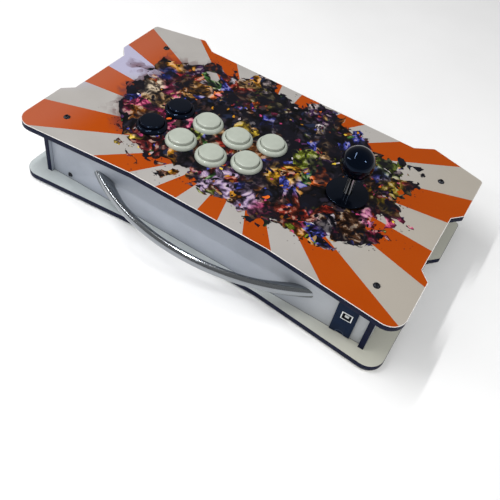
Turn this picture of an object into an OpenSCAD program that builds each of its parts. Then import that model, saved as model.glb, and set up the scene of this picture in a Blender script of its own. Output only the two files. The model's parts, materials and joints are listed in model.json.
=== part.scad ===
// Arcade joystick panel: two shaped boards with four walls between them,
// eight push buttons, a ball-top joystick, a bow handle and a data inlet.
// Millimetres. +Z is up, -Y is the player's side, +X is the player's right.
// The origin is on the table, under the middle of the whole panel.

/* [Case] */
// Width of the two boards
panel_w = 450; // [440:1:480]
// Depth of the two boards, from the front tabs to the rear corners
panel_d = 267; // [260:1:285]
// Clear height between the base board and the top board
wall_h = 63; // [60:1:75]
// Thickness of the base board and of the top board
board_t = 6.5; // [5.5:0.5:7.5]
// Thickness of the four walls
wall_t = 6; // [5:0.5:6.5]
// Thickness of the printed film on the top board
film_t = 0.4; // [0.2:0.1:0.6]
// Height of the rubber feet
foot_h = 3; // [2:0.5:6]
// Diameter of the rubber feet
foot_d = 18; // [14:1:20]

/* [Buttons] */
// Diameter of the mounting hole of a button
button_hole_d = 30; // [29.6:0.2:30.4]
// Diameter of the domed rim of a button
rim_d = 34.8; // [33.6:0.2:35.6]
// Height of the domed rim above the panel
rim_h = 4.6; // [3:0.2:5]
// Diameter of the plunger
plunger_d = 26.4; // [25:0.2:26.6]
// Height of the plunger's top above the panel, at rest
plunger_h = 7.9; // [7:0.1:9]
// Travel of the plunger
plunger_travel = 3; // [1.5:0.5:3]

/* [Joystick] */
// Diameter of the ball top
ball_d = 35; // [30:1:40]
// Height of the ball's centre above the panel
ball_h = 44; // [40:1:52]
// Diameter of the shaft
shaft_d = 8; // [7:0.5:8]
// Diameter of the dust washer
washer_d = 46; // [42:1:50]
// Largest tilt of the lever about each axis, in degrees
lever_tilt = 9; // [5:1:9]

/* [Handle] */
// Distance between the points where the handle's centre line meets the wall
bow_span = 256; // [220:1:270]
// Distance from the wall to the middle of the handle's centre line
bow_rise = 36; // [30:0.5:45]
// Height of the handle's flat-oval bar
bar_h = 13; // [8:0.5:16]
// Thickness of the handle's flat-oval bar
bar_t = 9; // [5:0.5:11]

/* [Data inlet] */
// Width of the inlet's black plate
inlet_plate_w = 22.4; // [20:0.2:24]
// Height of the inlet's black plate
inlet_plate_h = 55; // [40:1:58]
// Thickness of the inlet's black plate
inlet_plate_t = 2; // [1:0.5:3]

/* [Hidden] */
$fn = 64;
eps = 0.01;

// Heights, from the table up
base_top = foot_h + board_t;
top_under = base_top + wall_h;
board_top = top_under + board_t;
panel_top = board_top + film_t;

// Plan of the case. Its own middle is half way between rear corners and front tabs.
half_w = panel_w / 2;
half_d = panel_d / 2;
rear_set_in = 22;
front_set_in = 29.5;
side_set_in = 23;
rear_face = half_d - rear_set_in;
front_face = front_set_in - half_d;
side_face = half_w - side_set_in;
side_inner = side_face - wall_t;
wall_set_in = 4.3;
bow_out = rear_face + bow_rise + bar_t / 2;

// Outline of the right half of a board, from the front middle round to the rear:
// a front tab, the side with its hand notch, the rear corner and the set-in rear edge
tab_tip_x = half_w - 65;
tab_root_x = half_w - 85.6;
tab_h = 15;
front_slope_h = 17;
notch_depth = 10.8;
notch_front_y = 84.4 - half_d;
notch_rear_y = half_d - 72.8;
notch_front_run = 12.4;
notch_rear_run = 11.2;
rear_edge_x = half_w - 144.5;
rear_edge_set_in = 13;
outline_right = [
    [tab_root_x, tab_h - half_d], [tab_tip_x, -half_d], [half_w, front_slope_h - half_d],
    [half_w, notch_front_y], [half_w - notch_depth, notch_front_y + notch_front_run],
    [half_w - notch_depth, notch_rear_y - notch_rear_run], [half_w, notch_rear_y],
    [half_w, half_d], [rear_edge_x, half_d - rear_edge_set_in]
];
outline_radii = [4, 4, 5, 2, 2, 2, 2, 18, 30];
arc_steps = 10;
front_tip = min([for (p = board_outline()) p[1]]);
case_y = -(bow_out + front_tip) / 2;

// Screws through the boards into the corner posts
post_x = half_w - 39.4;
post_rear_y = half_d - 38.6;
post_front_y = 49.2 - half_d;
post_d = 9;
m4_d = 4;
m4_hole_d = 4.2;
m4_head_d = 7.6;
m4_head_h = 2.2;
countersink_d = 8.4;
countersink_h = 2.2;
post_places = [
    [post_x, post_rear_y], [-post_x, post_rear_y],
    [post_x, post_front_y], [-post_x, post_front_y]
];
foot_x = half_w - 60;
foot_y = half_d - 29;
foot_places = [[foot_x, foot_y], [-foot_x, foot_y], [foot_x, -foot_y], [-foot_x, -foot_y]];

// Cleats: [x, y, angle of the wall's outward normal]
cleat_w = 16;
cleat_size = 12;
cleat_x = half_w - 53;
cleat_y = 40;
cleat_places = [
    [cleat_x, rear_face - wall_t, 90],
    [cleat_x, front_face + wall_t, -90], [-cleat_x, front_face + wall_t, -90],
    [side_inner, cleat_y, 0], [side_inner, -cleat_y, 0],
    [-side_inner, cleat_y, 180], [-side_inner, -cleat_y, 180]
];
m3_d = 3;
m3_hole_d = 3.2;
cleat_screw_z = base_top + 5.9;

// Buttons: four columns, each with a front button and a rear one behind it
column_x = [-10.7, 24.8, 63.3, 101.9];
column_y = [-10.6, 4.7, 4.7, 4.7];
rear_step = [7.2, 42];
button_places = [
    for (i = [0:3]) [column_x[i], column_y[i]],
    for (i = [0:3]) [column_x[i], column_y[i]] + rear_step
];
button_colour = ["white", "white", "white", "#17181c"];
barrel_d = 29.4;
barrel_bore_d = 27;
barrel_depth = 18;
barrel_floor_t = 2;
snap_out = 1.4;
snap_w = 6;
rim_curve_r = 5.2;
cap_wall = 1.6;
cap_skirt = 7;
stem_d = 5;
stem_gap = 0.4;
switch_w = 20;
switch_d = 6.4;
switch_bottom = 30;

// Joystick, with its pivot below the top board
stick_x = -110;
stick_y = 3;
pivot_z = top_under - 12;
socket_r = 13.3;
bush_r = 13;
bush_h = 10;
bush_bore_r = 8.3;
pivot_ball_r = 8;
stick_hole_d = 24;
housing_w = 64;
housing_bottom = pivot_z - 11.6;
housing_neck_d = 19;
housing_mouth_d = 21;
plate_w = 100;
plate_d = 62;
plate_t = 1.6;
frame_bottom = pivot_z - 34;
frame_wall = 2.5;
frame_boss_d = 9;
gate_t = 3;
gate_w = shaft_d + 2 * (pivot_z - frame_bottom + gate_t) * tan(lever_tilt) + 0.7;
nub_r = 13;
ball_z = panel_top + ball_h;
thread_d = 5.9;
washer_gap = 0.2;
slide_washer_t = 1.2;
slide_washer_z = panel_top + washer_gap;
dust_washer_z = slide_washer_z + slide_washer_t + washer_gap;
mount_screw_x = 43;
mount_screw_y = 24;
case_screw_at = 27;

// Data inlet on the rear wall, behind the joystick's end of the case
inlet_x = -173.5;
inlet_z = panel_top - 39.8;
port_x = inlet_x - 1;
inlet_plate_z = panel_top - 69.2;
shell_w = 9.4;
shell_h = 8.3;
shell_t = 0.4;
socket_w = 12;
socket_h = 11;
socket_depth = 18;
inlet_face = rear_face + inlet_plate_t;
inlet_screw_x = 7.5;
inlet_screw_z = inlet_plate_z + inlet_plate_h - 5;
bezel_w = 11.8;
bezel_h = 10.4;
bezel_t = 0.5;
tongue_w = 4.4;
tongue_h = 2.9;
tongue_z = inlet_z - 0.6;

// Encoder board on the base board
encoder_x = -95;
encoder_y = 70;
encoder_w = 85;
encoder_d = 36;
encoder_t = 1.6;
chip_w = 16;
chip_d = 10;
spacer_h = 6;
encoder_z = base_top + spacer_h;
encoder_hole_x = encoder_w / 2 - 4;
encoder_hole_y = encoder_d / 2 - 4;
encoder_corners = [
    for (sx = [-1, 1], sy = [-1, 1])
        [encoder_x + sx * encoder_hole_x, encoder_y + sy * encoder_hole_y]
];
plug_w = 5;
plug_d = 6;
plug_h = 7;
plug_pitch = 7.4;
plug_count = 9;

// Bow handle: an arc through both ends and the middle
bow_r = (bow_span * bow_span / 4 + bow_rise * bow_rise) / (2 * bow_rise);
bow_centre_y = rear_face + bow_rise - bow_r;
bow_z = panel_top - 39.8;
bow_screw_x = bow_span / 2 - 2.5;

// Leads, as points that they pass through
inlet_lead_d = 4.5;
inlet_lead_points = [
    [port_x, rear_face - socket_depth, inlet_z], [port_x, 90, inlet_z], [port_x, 87, inlet_z],
    [-173.5, 79, 33], [-168, 73, 24], [-158, 70, 20.5], [-148, 70, 20.6],
    [encoder_x - encoder_w / 2 + 3, 70, 20.6]
];
stick_lead_d = 4;
stick_lead_points = [
    [stick_x, stick_y + housing_w / 2, 34], [stick_x, 38, 34], [stick_x, 42, 34],
    [-110, 46.5, 34], [-110, 51.5, 33], [-109.8, 55.1, 29], [-109.8, 55.5, 26],
    [-109.8, 55.5, encoder_z + encoder_t + plug_h]
];
loom_d = 6;
loom_points = [
    [encoder_x + encoder_w / 2 - 3, 70, 20.6], [-52, 70, 20.6], [-48, 70, 20.6],
    [-42, 69.4, 19.4], [-34, 67, 16],
    [-20, 61, 13.2], [0, 54, 13], [25, 49, 13], [50, 46, 13], [75, 44, 13.6],
    [94, 44, 18], [105, 45.5, 27], [109, 46.6, 36], [109.1, 46.7, 43],
    [109.1, 46.7, panel_top - switch_bottom]
];

function unit(v) = v / norm(v);

// Arc of radius r that rounds the corner b between a and c
function rounded_corner(a, b, c, r) =
    let (u = unit(a - b), w = unit(c - b))
    let (half = acos(u * w) / 2)
    let (m = b + unit(u + w) * r / sin(half))
    let (p = b + u * r / tan(half) - m, q = b + w * r / tan(half) - m)
    let (start = atan2(p[1], p[0]), end = atan2(q[1], q[0]))
    let (turn = (end - start + 540) % 360 - 180)
    [for (k = [0:arc_steps])
        m + r * [cos(start + turn * k / arc_steps), sin(start + turn * k / arc_steps)]];

// Whole outline: the right half, and its mirror image back to the start
function board_outline() =
    let (n = len(outline_right))
    let (left = [for (i = [n - 1:-1:0]) [-outline_right[i][0], outline_right[i][1]]])
    let (points = concat(outline_right, left), m = 2 * n)
    let (radii = concat(outline_radii, [for (i = [n - 1:-1:0]) outline_radii[i]]))
    [for (i = [0:m - 1])
        each rounded_corner(points[(i + m - 1) % m], points[i], points[(i + 1) % m], radii[i])];

// Point at t along the smooth curve through p1 and p2
function curve_point(p0, p1, p2, p3, t) =
    0.5 * (2 * p1 + (p2 - p0) * t + (2 * p0 - 5 * p1 + 4 * p2 - p3) * t * t
        + (3 * p1 - p0 - 3 * p2 + p3) * t * t * t);

// Smooth path through all the points, with a given number of steps between two
function smooth_path(points, steps) =
    let (n = len(points))
    [for (i = [0:n - 2], k = [0:steps - 1])
        curve_point(points[max(i - 1, 0)], points[i], points[i + 1],
            points[min(i + 2, n - 1)], k / steps),
        points[n - 1]];

// Direction of the path at point i
function heading(path, i) =
    unit(path[min(i + 1, len(path) - 1)] - path[max(i - 1, 0)]);

// Sideways direction at each point, carried along so that the tube doesn't twist
function carried(path, i, side) =
    let (t = heading(path, i))
    let (s = unit(side - (side * t) * t))
    i == len(path) - 1 ? [s] : concat([s], carried(path, i + 1, s));

// Round tube of diameter d along a path
module lead(points, d, steps, first_side) {
    path = smooth_path(points, steps);
    sides = carried(path, 0, first_side);
    n = len(path);
    m = 8;
    rings = [
        for (i = [0:n - 1], j = [0:m - 1])
            let (t = heading(path, i), s = sides[i])
            path[i] + d / 2 * (cos(360 * j / m) * s + sin(360 * j / m) * cross(t, s))
    ];
    skins = [
        for (i = [0:n - 2], j = [0:m - 1])
            let (a = i * m + j, b = i * m + (j + 1) % m)
            each [[a, a + m, b], [b, a + m, b + m]]
    ];
    ends = [[for (j = [0:m - 1]) j], [for (j = [m - 1:-1:0]) (n - 1) * m + j]];
    polyhedron(points = rings, faces = concat(skins, ends), convexity = 6);
}

// Puts the case so that the origin is under the middle of the whole panel
module in_case() {
    translate([0, case_y, 0]) children();
}

module at_places(places, z) {
    for (p = places) translate([p[0], p[1], z]) children();
}

module board(z, thickness) {
    translate([0, 0, z]) linear_extrude(thickness) polygon(board_outline());
}

// Box from a low corner to a high corner
module box(low, high) {
    translate(low) cube(high - low);
}

module button_holes(z, depth) {
    at_places(button_places, z) cylinder(d = button_hole_d, h = depth);
}

// Button-head screw standing on z = 0, with its shank going down
module button_screw(head_d, head_h, shank_d, length) {
    difference() {
        union() {
            rotate_extrude() intersection() {
                translate([0, head_h - head_d * 0.62]) circle(d = head_d * 1.24);
                square([head_d / 2, head_h]);
            }
            translate([0, 0, -length]) cylinder(d = shank_d, h = length + eps);
        }
        translate([0, 0, head_h * 0.4]) cylinder(d = head_d * 0.42, h = head_h, $fn = 6);
    }
}

// --- Case -----------------------------------------------------------------

module base_board() {
    color("#C5CEC8") in_case() difference() {
        board(foot_h, board_t);
        at_places(post_places, foot_h - 1) cylinder(d = m4_hole_d, h = board_t + 2);
        at_places(post_places, foot_h - eps) cylinder(d1 = countersink_d, d2 = m4_hole_d, h = countersink_h);
        at_places(foot_places, foot_h - 1) cylinder(d = m3_hole_d, h = 6.5);
    }
}

module top_board() {
    color("#1D2340") in_case() difference() {
        board(top_under, board_t);
        button_holes(top_under - 1, board_t + 2);
        translate([stick_x, stick_y, top_under - 1]) cylinder(d = stick_hole_d, h = board_t + 2);
        at_places(post_places, top_under - 1) cylinder(d = m4_hole_d, h = board_t + 2);
        stick_mount_holes(top_under - 1, 6, m3_hole_d);
    }
}

module printed_film() {
    color("#C0602F") in_case() difference() {
        board(board_top, film_t);
        button_holes(board_top - 1, film_t + 2);
        translate([stick_x, stick_y, board_top - 1]) cylinder(d = stick_hole_d, h = film_t + 2);
        at_places(post_places, board_top - 1) cylinder(d = m4_hole_d, h = film_t + 2);
    }
}

module rear_wall() {
    color("#A5AAB5") in_case() difference() {
        box([-side_inner, rear_face - wall_t, base_top], [side_inner, rear_face, top_under]);
        box([port_x - socket_w / 2 - 1, rear_face - wall_t - 1, inlet_z - socket_h / 2 - 1],
            [port_x + socket_w / 2 + 1, rear_face + 1, inlet_z + socket_h / 2 + 1]);
        for (sx = [-1, 1])
            translate([sx * bow_screw_x, rear_face + 1, bow_z])
                rotate([90, 0, 0]) cylinder(d = m4_hole_d, h = wall_t + 2);
        translate([cleat_x, rear_face + 1, cleat_screw_z])
            rotate([90, 0, 0]) cylinder(d = m3_hole_d, h = wall_t + 2);
        inlet_screw_holes(rear_face + 1, wall_t + 2);
    }
}

module front_wall() {
    color("#A5AAB5") in_case() difference() {
        box([-side_inner, front_face, base_top], [side_inner, front_face + wall_t, top_under]);
        for (sx = [-1, 1])
            translate([sx * cleat_x, front_face - 1, cleat_screw_z])
                rotate([-90, 0, 0]) cylinder(d = m3_hole_d, h = wall_t + 2);
    }
}

// A side wall; side is -1 for the player's left, 1 for the right
module side_wall(side) {
    low_x = side > 0 ? side_inner : -side_face;
    color("#A5AAB5") in_case() difference() {
        box([low_x, front_face - wall_set_in, base_top],
            [low_x + wall_t, rear_face + wall_set_in, top_under]);
        for (y = [-cleat_y, cleat_y])
            translate([low_x - 1, y, cleat_screw_z])
                rotate([0, 90, 0]) cylinder(d = m3_hole_d, h = wall_t + 2);
    }
}

module corner_posts() {
    color("silver") in_case() at_places(post_places, base_top) difference() {
        cylinder(d = post_d, h = wall_h);
        translate([0, 0, -1]) cylinder(d = m4_hole_d, h = wall_h + 2);
    }
}

module wall_cleats() {
    color("#B8A27E") in_case() for (c = cleat_places)
        translate([c[0], c[1], 0]) rotate([0, 0, c[2]]) difference() {
            box([-cleat_size, -cleat_w / 2, base_top], [0, cleat_w / 2, base_top + cleat_size]);
            translate([-9, 0, cleat_screw_z]) rotate([0, 90, 0]) cylinder(d = m3_hole_d, h = 10);
        }
}

module panel_screws() {
    color("#202226") in_case() at_places(post_places, panel_top)
        button_screw(m4_head_d, m4_head_h, m4_d, 20);
}

module base_screws() {
    color("#202226") in_case() at_places(post_places, foot_h) difference() {
        union() {
            cylinder(d1 = 8, d2 = m4_d, h = 2.1);
            cylinder(d = m4_d, h = 18);
        }
        translate([0, 0, -eps]) cylinder(d = 2.6, h = 1.3, $fn = 6);
    }
}

// Dark pan-head screws: seven through the walls into the cleats, two for the inlet plate
module wall_screws() {
    color("#1A1B1F") in_case() {
        for (c = cleat_places)
            translate([c[0], c[1], cleat_screw_z]) rotate([0, 0, c[2]])
                translate([wall_t, 0, 0]) rotate([0, 90, 0]) button_screw(6.2, 2, m3_d, 14);
        for (sx = [-1, 1])
            translate([inlet_x + sx * inlet_screw_x, inlet_face, inlet_screw_z])
                rotate([-90, 0, 0]) button_screw(5, 1.6, m3_d, inlet_plate_t + wall_t - 0.5);
    }
}

module rubber_feet() {
    color("#1C1C1E") in_case() at_places(foot_places, 0) difference() {
        rotate_extrude() polygon([[0, 0], [foot_d / 2 - 1.5, 0], [foot_d / 2, foot_h], [0, foot_h]]);
        translate([0, 0, -1]) cylinder(d = m3_hole_d, h = foot_h + 2);
        translate([0, 0, -1]) cylinder(d = 7, h = 2.4);
    }
}

module foot_screws() {
    color("silver") in_case() at_places(foot_places, 1.4) {
        translate([0, 0, -1]) cylinder(d = 5.6, h = 1);
        cylinder(d = m3_d, h = foot_h + 2.6);
    }
}

// --- Handle ---------------------------------------------------------------

module carry_handle() {
    color("#B9BCC0") in_case() difference() {
        translate([0, bow_centre_y, bow_z]) rotate_extrude($fn = 180) translate([bow_r, 0]) {
            square([bar_t, bar_h - bar_t], center = true);
            translate([0, (bar_h - bar_t) / 2]) circle(d = bar_t);
            translate([0, (bar_t - bar_h) / 2]) circle(d = bar_t);
        }
        box([-2 * bow_r, bow_centre_y - 2 * bow_r, bow_z - bar_h],
            [2 * bow_r, rear_face, bow_z + bar_h]);
        for (sx = [-1, 1])
            translate([sx * bow_screw_x, rear_face + 3, bow_z])
                rotate([90, 0, 0]) cylinder(d = m4_hole_d, h = 8);
    }
}

module handle_screws() {
    color("#202226") in_case() for (sx = [-1, 1])
        translate([sx * bow_screw_x, rear_face - wall_t, bow_z])
            rotate([90, 0, 0]) button_screw(m4_head_d, m4_head_h, m4_d, wall_t + 2.6);
}

// --- Data inlet -----------------------------------------------------------

module inlet_screw_holes(y, depth) {
    for (sx = [-1, 1])
        translate([inlet_x + sx * inlet_screw_x, y, inlet_screw_z])
            rotate([90, 0, 0]) cylinder(d = m3_hole_d, h = depth);
}

module inlet_plate() {
    color("#15161A") in_case() difference() {
        box([inlet_x - inlet_plate_w / 2, rear_face, inlet_plate_z],
            [inlet_x + inlet_plate_w / 2, inlet_face, inlet_plate_z + inlet_plate_h]);
        box([port_x - shell_w / 2, rear_face - 1, inlet_z - shell_h / 2],
            [port_x + shell_w / 2, inlet_face + 1, inlet_z + shell_h / 2]);
        inlet_screw_holes(inlet_face + 1, inlet_plate_t + 2);
        // Shallow half-round thumb notch at the bottom edge
        translate([inlet_x, inlet_face + 1, inlet_plate_z])
            rotate([90, 0, 0]) cylinder(d = 9.5, h = 1.6);
    }
}

module inlet_bezel() {
    color("#E8E8E4") in_case() difference() {
        box([port_x - bezel_w / 2, inlet_face, inlet_z - bezel_h / 2],
            [port_x + bezel_w / 2, inlet_face + bezel_t, inlet_z + bezel_h / 2]);
        box([port_x - shell_w / 2, inlet_face - 1, inlet_z - shell_h / 2],
            [port_x + shell_w / 2, inlet_face + 2, inlet_z + shell_h / 2]);
    }
}

// Metal shell in the plate's window, with the moulded body behind the plate
module inlet_socket() {
    color("#2B2C30") in_case() difference() {
        union() {
            box([port_x - shell_w / 2, rear_face - 8, inlet_z - shell_h / 2],
                [port_x + shell_w / 2, inlet_face + 0.6, inlet_z + shell_h / 2]);
            box([port_x - socket_w / 2, rear_face - socket_depth, inlet_z - socket_h / 2],
                [port_x + socket_w / 2, rear_face, inlet_z + socket_h / 2]);
        }
        box([port_x - shell_w / 2 + shell_t, inlet_face - 11, inlet_z - shell_h / 2 + shell_t],
            [port_x + shell_w / 2 - shell_t, inlet_face + 1, inlet_z + shell_h / 2 - shell_t]);
    }
}

module inlet_tongue() {
    color("#D9D9D2") in_case()
        box([port_x - tongue_w / 2, inlet_face - 11, tongue_z - tongue_h / 2],
            [port_x + tongue_w / 2, inlet_face - 0.5, tongue_z + tongue_h / 2]);
}

// --- Encoder --------------------------------------------------------------

module encoder_board() {
    color("#1E5B3A") in_case() difference() {
        translate([encoder_x - encoder_w / 2, encoder_y - encoder_d / 2, encoder_z])
            cube([encoder_w, encoder_d, encoder_t]);
        at_places(encoder_corners, encoder_z - 1) cylinder(d = m3_hole_d, h = encoder_t + 2);
    }
}

// Rows of lead sockets, one socket at each end, and the chip between the rows
module encoder_sockets() {
    z = encoder_z + encoder_t;
    span = (plug_count - 1) * plug_pitch;
    color("#E6E4DC") in_case() {
        for (i = [0:plug_count - 1], sy = [-1, 1])
            translate([encoder_x - span / 2 + i * plug_pitch - plug_w / 2,
                encoder_y + sy * (encoder_d / 2 - plug_d / 2 - 0.5) - plug_d / 2, z])
                cube([plug_w, plug_d, plug_h]);
        for (sx = [-1, 1])
            translate([encoder_x + sx * (encoder_w / 2 - 6) - 3, encoder_y - 4, z]) cube([6, 8, plug_h]);
    }
    color("#222428") in_case()
        translate([encoder_x - chip_w / 2, encoder_y - chip_d / 2, z]) cube([chip_w, chip_d, 2]);
}

module encoder_spacers() {
    color("#D8D8D8") in_case() at_places(encoder_corners, base_top) difference() {
        cylinder(d = 6, h = spacer_h);
        translate([0, 0, -1]) cylinder(d = m3_hole_d, h = spacer_h + 2);
    }
}

module encoder_screws() {
    color("silver") in_case() at_places(encoder_corners, encoder_z + encoder_t)
        button_screw(5.4, 1.8, m3_d, encoder_t + spacer_h - 0.4);
}

module inlet_lead() {
    color("#111214") in_case() lead(inlet_lead_points, inlet_lead_d, 4, [1, 0, 0]);
}

module stick_lead() {
    color("#3A3B40") in_case() lead(stick_lead_points, stick_lead_d, 4, [1, 0, 0]);
}

module button_loom() {
    color("#2A2B30") in_case() lead(loom_points, loom_d, 3, [0, 1, 0]);
}

// --- Joystick -------------------------------------------------------------

module in_stick() {
    in_case() translate([stick_x, stick_y, 0]) children();
}

module stick_mount_holes(z, depth, d) {
    for (sx = [-1, 1], sy = [-1, 1])
        translate([stick_x + sx * mount_screw_x, stick_y + sy * mount_screw_y, z])
            cylinder(d = d, h = depth);
}

module case_screw_places(z) {
    for (sx = [-1, 1], sy = [-1, 1]) translate([sx * case_screw_at, sy * case_screw_at, z]) children();
}

// Square of width w about the stick, from z to z + h
module stick_block(w, z, h) {
    translate([-w / 2, -w / 2, z]) cube([w, w, h]);
}

module stick_plate() {
    color("#8C9096") difference() {
        in_stick() translate([-plate_w / 2, -plate_d / 2, top_under - plate_t])
            cube([plate_w, plate_d, plate_t]);
        in_stick() translate([0, 0, top_under - 3]) cylinder(d = stick_hole_d, h = 4);
        in_case() stick_mount_holes(top_under - 3, 4, m3_hole_d);
    }
}

module stick_housing() {
    color("#1B1C20") in_stick() difference() {
        stick_block(housing_w, housing_bottom, top_under - plate_t - housing_bottom);
        translate([0, 0, pivot_z]) sphere(r = socket_r);
        translate([0, 0, pivot_z]) cylinder(d = housing_neck_d, h = 20);
        translate([0, 0, housing_bottom - 1]) cylinder(d = housing_mouth_d, h = 10);
        case_screw_places(housing_bottom - 1) cylinder(d = m3_hole_d, h = 13);
    }
}

module stick_frame() {
    color("#26272C") in_stick() difference() {
        stick_block(housing_w, frame_bottom, housing_bottom - frame_bottom);
        difference() {
            stick_block(housing_w - 2 * frame_wall, frame_bottom - 1, housing_bottom - frame_bottom + 2);
            case_screw_places(frame_bottom - 2)
                cylinder(d = frame_boss_d, h = housing_bottom - frame_bottom + 4);
        }
        case_screw_places(frame_bottom - 1)
            cylinder(d = m3_hole_d, h = housing_bottom - frame_bottom + 2);
    }
}

// Bottom plate, with the square opening that stops the shaft's tip
module stick_gate() {
    color("#3B3D44") in_stick() difference() {
        stick_block(housing_w, frame_bottom - gate_t, gate_t);
        stick_block(gate_w, frame_bottom - gate_t - 1, gate_t + 2);
        case_screw_places(frame_bottom - gate_t - 1) cylinder(d = m3_hole_d, h = gate_t + 2);
    }
}

// Four snap switches round the actuator, each with its button facing it
module stick_switches() {
    color("#141519") in_stick() for (a = [0:90:270]) rotate([0, 0, a]) {
        box([14, -10, frame_bottom], [24, 10, frame_bottom + 6.4]);
        box([nub_r, -1.5, frame_bottom + 2], [14, 1.5, frame_bottom + 4.4]);
        for (y = [-8, 0, 8]) box([24, y - 0.4, frame_bottom + 1.6], [28, y + 0.4, frame_bottom + 4.8]);
    }
}

module stick_mount_screws() {
    color("silver") in_stick() for (sx = [-1, 1], sy = [-1, 1])
        translate([sx * mount_screw_x, sy * mount_screw_y, top_under - plate_t])
            rotate([180, 0, 0]) button_screw(6, 2, m3_d, plate_t + 4.6);
}

module stick_case_screws() {
    color("silver") in_stick() case_screw_places(frame_bottom - gate_t)
        rotate([180, 0, 0]) button_screw(5.6, 2, m3_d, gate_t + housing_bottom - frame_bottom + 9);
}

// Bush between the housing's socket and the pivot ball: a zone of a hollow sphere
module swivel_bush() {
    color("#D8D4C4") in_stick() translate([0, 0, pivot_z]) intersection() {
        difference() {
            sphere(r = bush_r);
            sphere(r = bush_bore_r);
        }
        cylinder(r = bush_r + 1, h = bush_h, center = true);
    }
}

module pivot_ball() {
    color("#EDEBE4") in_stick() translate([0, 0, pivot_z]) difference() {
        sphere(r = pivot_ball_r);
        cylinder(d = shaft_d, h = 20, center = true);
    }
}

module stick_shaft() {
    tip = frame_bottom - gate_t + 0.5;
    shoulder = ball_z - 0.46 * ball_d;
    color("#B4B8BD") in_stick() {
        translate([0, 0, tip]) cylinder(d = shaft_d, h = shoulder - tip);
        translate([0, 0, shoulder - eps]) cylinder(d = thread_d, h = 12);
    }
}

module return_spring() {
    coil_r = 6.4;
    turns = 4;
    rise = 5.6;
    coil = [
        for (k = [0:turns * 14])
            [coil_r * cos(k * 360 / 14), coil_r * sin(k * 360 / 14), rise * k / (turns * 14)]
    ];
    color("#C8CACE") in_stick() translate([0, 0, pivot_z - 20.2]) lead(coil, 1.1, 1, [1, 0, 0]);
}

// Sleeve that presses the switches, with a flange on top for the spring
module actuator() {
    color("#1A1B1E") in_stick() difference() {
        union() {
            translate([0, 0, pivot_z - 32.4]) cylinder(d = 15, h = 10.2);
            translate([0, 0, pivot_z - 22.4]) cylinder(d = 20, h = 1.6);
        }
        translate([0, 0, pivot_z - 34]) cylinder(d = shaft_d, h = 16);
    }
}

module shaft_clip() {
    color("#5A5C60") in_stick() translate([0, 0, pivot_z - 33.2]) difference() {
        cylinder(d = 12, h = 0.8);
        translate([0, 0, -1]) cylinder(d = shaft_d, h = 3);
        box([-1.5, 0, -1], [1.5, 8, 2]);
    }
}

module ball_top() {
    color("#101114") in_stick() difference() {
        translate([0, 0, ball_z]) sphere(d = ball_d, $fn = 96);
        translate([0, 0, ball_z - ball_d]) cylinder(d = 2 * ball_d, h = 0.54 * ball_d);
        translate([0, 0, ball_z - 0.46 * ball_d - 1]) cylinder(d = thread_d, h = 13.5);
    }
}

// Thin washer that slides sideways on the film, under the dust washer
module slide_washer() {
    color("#18191C") in_stick() translate([0, 0, slide_washer_z]) difference() {
        cylinder(d = washer_d - 5, h = slide_washer_t);
        translate([0, 0, -1]) cylinder(d = 18, h = 4);
    }
}

// Dished washer that hides the hole wherever the shaft leans
module dust_washer() {
    r = washer_d / 2;
    color("#18191C") in_stick() translate([0, 0, dust_washer_z])
        rotate_extrude($fn = 96) polygon([
            [4.7, 0], [r - 0.5, 0], [r, 0.5], [r, 1.2], [r - 0.4, 1.5],
            [r * 0.7, 2.2], [r * 0.4, 2.6], [7, 2.8], [4.7, 2.8]
        ]);
}

// --- Buttons --------------------------------------------------------------

function column(i) = (i - 1) % 4;

module at_button(i) {
    p = button_places[i - 1];
    in_case() translate([p[0], p[1], panel_top]) children();
}

// Domed rim, threadless barrel with two snap wings, and a floor for the switch
module button_body(i) {
    color(button_colour[column(i)]) at_button(i) difference() {
        union() {
            rotate_extrude() difference() {
                intersection() {
                    translate([rim_d / 2 - rim_curve_r, -0.6]) circle(r = rim_curve_r, $fn = 48);
                    square([rim_d / 2, rim_h]);
                }
                translate([0, -1]) square([barrel_bore_d / 2, rim_h + 2]);
            }
            translate([0, 0, -barrel_depth]) cylinder(d = barrel_d, h = barrel_depth + eps);
            for (a = [0, 180]) rotate([0, 0, a])
                box([barrel_d / 2 - 0.5, -snap_w / 2, -13],
                    [barrel_d / 2 + snap_out, snap_w / 2, -board_t - film_t - 0.2]);
        }
        translate([0, 0, barrel_floor_t - barrel_depth])
            cylinder(d = barrel_bore_d, h = barrel_depth + rim_h);
        translate([0, 0, -barrel_depth - 1]) cylinder(d = 7, h = 4);
    }
}

// Hollow cap with a stem that works the switch
module plunger(i) {
    r = plunger_d / 2;
    stem_bottom = plunger_travel + stem_gap - barrel_depth;
    color(button_colour[column(i)]) at_button(i) {
        difference() {
            rotate_extrude() polygon([
                [0, -cap_skirt], [r, -cap_skirt], [r, plunger_h - 0.9], [r - 0.3, plunger_h - 0.3],
                [r - 0.9, plunger_h], [0, plunger_h]
            ]);
            translate([0, 0, -cap_skirt - 1])
                cylinder(r = r - cap_wall, h = plunger_h + cap_skirt - 1.2);
        }
        translate([0, 0, stem_bottom]) cylinder(d = stem_d, h = plunger_h - stem_bottom - 1);
    }
}

// One snap switch under each button
module button_switches() {
    color("#1B1C20") for (i = [1:8]) at_button(i) {
        box([-switch_w / 2, -switch_d / 2, -switch_bottom],
            [switch_w / 2, switch_d / 2, -barrel_depth]);
        translate([0, 0, -barrel_depth - eps]) cylinder(d = 3, h = 0.3);
        for (x = [-8, 8]) box([x - 1.6, -0.4, -switch_bottom - 5], [x + 1.6, 0.4, -switch_bottom]);
    }
}

// --- Nodes ----------------------------------------------------------------

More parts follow.
